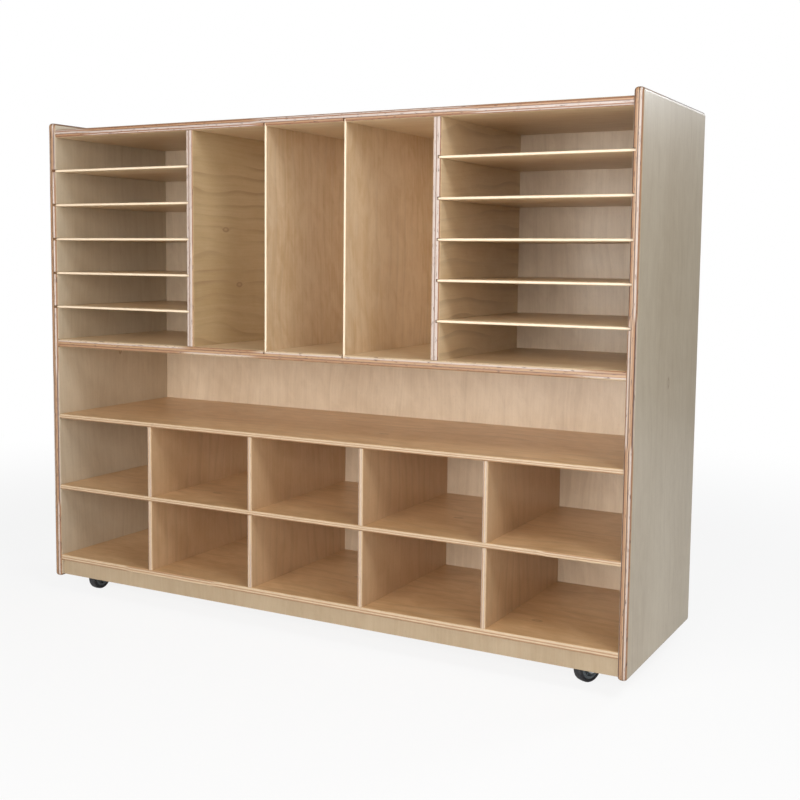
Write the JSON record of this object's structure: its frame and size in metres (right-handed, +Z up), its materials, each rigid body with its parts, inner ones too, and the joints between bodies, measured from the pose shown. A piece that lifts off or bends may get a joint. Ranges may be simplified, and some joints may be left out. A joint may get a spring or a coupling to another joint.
{
  "type": "storage cabinet",
  "caption": "Open-fronted birch plywood craft storage cabinet on swivel casters, with thin slide-in paper shelves, tall bays, a display space and cubbies.",
  "frame": {"origin": "on the floor, under the middle of the cabinet", "axes": "+X to the right seen from the open front, +Y to the back panel, +Z up"},
  "size_m": [1.2192, 0.381, 0.9652],
  "materials": {
    "side_birch": "satin clear lacquer",
    "carcass_birch": "satin clear lacquer, banded plywood edges",
    "shelf_birch": "satin clear lacquer",
    "leaf_birch": "satin clear lacquer",
    "back_birch": "satin clear lacquer",
    "kick_birch": "satin clear lacquer",
    "dowel_beech": "plain",
    "tyre_rubber": "matte",
    "hub_plastic": "matte",
    "zinc_steel": "bright zinc plate"
  },
  "bodies": {
    "cabinet": {"left_side_panel": "side_birch", "right_side_panel": "side_birch", "top_panel": "carcass_birch", "mid_shelf": "carcass_birch", "left_divider": "carcass_birch", "right_divider": "carcass_birch", "display_shelf": "shelf_birch", "cubby_shelf": "shelf_birch", "bottom_shelf": "shelf_birch", "back_panel": "back_birch", "front_kickboard": "kick_birch", "rear_kickboard": "kick_birch", "kickboard_dowels": "dowel_beech", "upper_cubby_divider_1": "shelf_birch", "lower_cubby_divider_1": "shelf_birch", "upper_cubby_divider_2": "shelf_birch", "lower_cubby_divider_2": "shelf_birch", "upper_cubby_divider_3": "shelf_birch", "lower_cubby_divider_3": "shelf_birch", "upper_cubby_divider_4": "shelf_birch", "lower_cubby_divider_4": "shelf_birch", "front_left_caster_plate": "zinc_steel", "front_right_caster_plate": "zinc_steel", "rear_left_caster_plate": "zinc_steel", "rear_right_caster_plate": "zinc_steel", "kingpins": "zinc_steel", "swivel_balls": "zinc_steel", "caster_screws": "zinc_steel"},
    "left_paper_shelf_1": {"left_paper_shelf_1": "leaf_birch"},
    "right_paper_shelf_1": {"right_paper_shelf_1": "leaf_birch"},
    "left_paper_shelf_2": {"left_paper_shelf_2": "leaf_birch"},
    "right_paper_shelf_2": {"right_paper_shelf_2": "leaf_birch"},
    "left_paper_shelf_3": {"left_paper_shelf_3": "leaf_birch"},
    "right_paper_shelf_3": {"right_paper_shelf_3": "leaf_birch"},
    "left_paper_shelf_4": {"left_paper_shelf_4": "leaf_birch"},
    "right_paper_shelf_4": {"right_paper_shelf_4": "leaf_birch"},
    "left_paper_shelf_5": {"left_paper_shelf_5": "leaf_birch"},
    "right_paper_shelf_5": {"right_paper_shelf_5": "leaf_birch"},
    "light_divider_1": {"light_divider_1": "leaf_birch"},
    "light_divider_2": {"light_divider_2": "leaf_birch"},
    "front_left_swivel": {"front_left_caster_fork": "zinc_steel", "front_left_caster_axle": "zinc_steel"},
    "front_left_wheel": {"front_left_wheel_hub": "hub_plastic", "front_left_wheel_tyre": "tyre_rubber"},
    "front_right_swivel": {"front_right_caster_fork": "zinc_steel", "front_right_caster_axle": "zinc_steel"},
    "front_right_wheel": {"front_right_wheel_hub": "hub_plastic", "front_right_wheel_tyre": "tyre_rubber"},
    "rear_left_swivel": {"rear_left_caster_fork": "zinc_steel", "rear_left_caster_axle": "zinc_steel"},
    "rear_left_wheel": {"rear_left_wheel_hub": "hub_plastic", "rear_left_wheel_tyre": "tyre_rubber"},
    "rear_right_swivel": {"rear_right_caster_fork": "zinc_steel", "rear_right_caster_axle": "zinc_steel"},
    "rear_right_wheel": {"rear_right_wheel_hub": "hub_plastic", "rear_right_wheel_tyre": "tyre_rubber"}
  },
  "joints": [
    {"name": "left_paper_shelf_1_slide", "type": "slide", "parent": "cabinet", "child": "left_paper_shelf_1", "axis": [0, -1, 0], "range_m": [0, 0.36]},
    {"name": "right_paper_shelf_1_slide", "type": "slide", "parent": "cabinet", "child": "right_paper_shelf_1", "axis": [0, -1, 0], "range_m": [0, 0.36]},
    {"name": "left_paper_shelf_2_slide", "type": "slide", "parent": "cabinet", "child": "left_paper_shelf_2", "axis": [0, -1, 0], "range_m": [0, 0.36]},
    {"name": "right_paper_shelf_2_slide", "type": "slide", "parent": "cabinet", "child": "right_paper_shelf_2", "axis": [0, -1, 0], "range_m": [0, 0.36]},
    {"name": "left_paper_shelf_3_slide", "type": "slide", "parent": "cabinet", "child": "left_paper_shelf_3", "axis": [0, -1, 0], "range_m": [0, 0.36]},
    {"name": "right_paper_shelf_3_slide", "type": "slide", "parent": "cabinet", "child": "right_paper_shelf_3", "axis": [0, -1, 0], "range_m": [0, 0.36]},
    {"name": "left_paper_shelf_4_slide", "type": "slide", "parent": "cabinet", "child": "left_paper_shelf_4", "axis": [0, -1, 0], "range_m": [0, 0.36]},
    {"name": "right_paper_shelf_4_slide", "type": "slide", "parent": "cabinet", "child": "right_paper_shelf_4", "axis": [0, -1, 0], "range_m": [0, 0.36]},
    {"name": "left_paper_shelf_5_slide", "type": "slide", "parent": "cabinet", "child": "left_paper_shelf_5", "axis": [0, -1, 0], "range_m": [0, 0.36]},
    {"name": "right_paper_shelf_5_slide", "type": "slide", "parent": "cabinet", "child": "right_paper_shelf_5", "axis": [0, -1, 0], "range_m": [0, 0.36]},
    {"name": "light_divider_1_slide", "type": "slide", "parent": "cabinet", "child": "light_divider_1", "axis": [0, -1, 0], "range_m": [0, 0.36]},
    {"name": "light_divider_2_slide", "type": "slide", "parent": "cabinet", "child": "light_divider_2", "axis": [0, -1, 0], "range_m": [0, 0.36]},
    {"name": "front_left_swivel_turn", "type": "hinge", "parent": "cabinet", "child": "front_left_swivel", "pos_m": [-0.556, -0.129, 0.0635], "axis": [0, 0, 1], "continuous": true},
    {"name": "front_left_wheel_spin", "type": "hinge", "parent": "front_left_swivel", "child": "front_left_wheel", "pos_m": [-0.55532, -0.11602, 0.025], "axis": [0.9986, -0.0523, 0], "continuous": true},
    {"name": "front_right_swivel_turn", "type": "hinge", "parent": "cabinet", "child": "front_right_swivel", "pos_m": [0.5145, -0.129, 0.0635], "axis": [0, 0, 1], "continuous": true},
    {"name": "front_right_wheel_spin", "type": "hinge", "parent": "front_right_swivel", "child": "front_right_wheel", "pos_m": [0.5206, -0.11752, 0.025], "axis": [0.8829, -0.4695, 0], "continuous": true},
    {"name": "rear_left_swivel_turn", "type": "hinge", "parent": "cabinet", "child": "rear_left_swivel", "pos_m": [-0.556, 0.129, 0.0635], "axis": [0, 0, 1], "continuous": true},
    {"name": "rear_left_wheel_spin", "type": "hinge", "parent": "rear_left_swivel", "child": "rear_left_wheel", "pos_m": [-0.5533, 0.14172, 0.025], "axis": [0.9781, -0.2079, 0], "continuous": true},
    {"name": "rear_right_swivel_turn", "type": "hinge", "parent": "cabinet", "child": "rear_right_swivel", "pos_m": [0.5145, 0.129, 0.0635], "axis": [0, 0, 1], "continuous": true},
    {"name": "rear_right_wheel_spin", "type": "hinge", "parent": "rear_right_swivel", "child": "rear_right_wheel", "pos_m": [0.51314, 0.14193, 0.025], "axis": [0.9945, 0.1045, 0], "continuous": true}
  ]
}
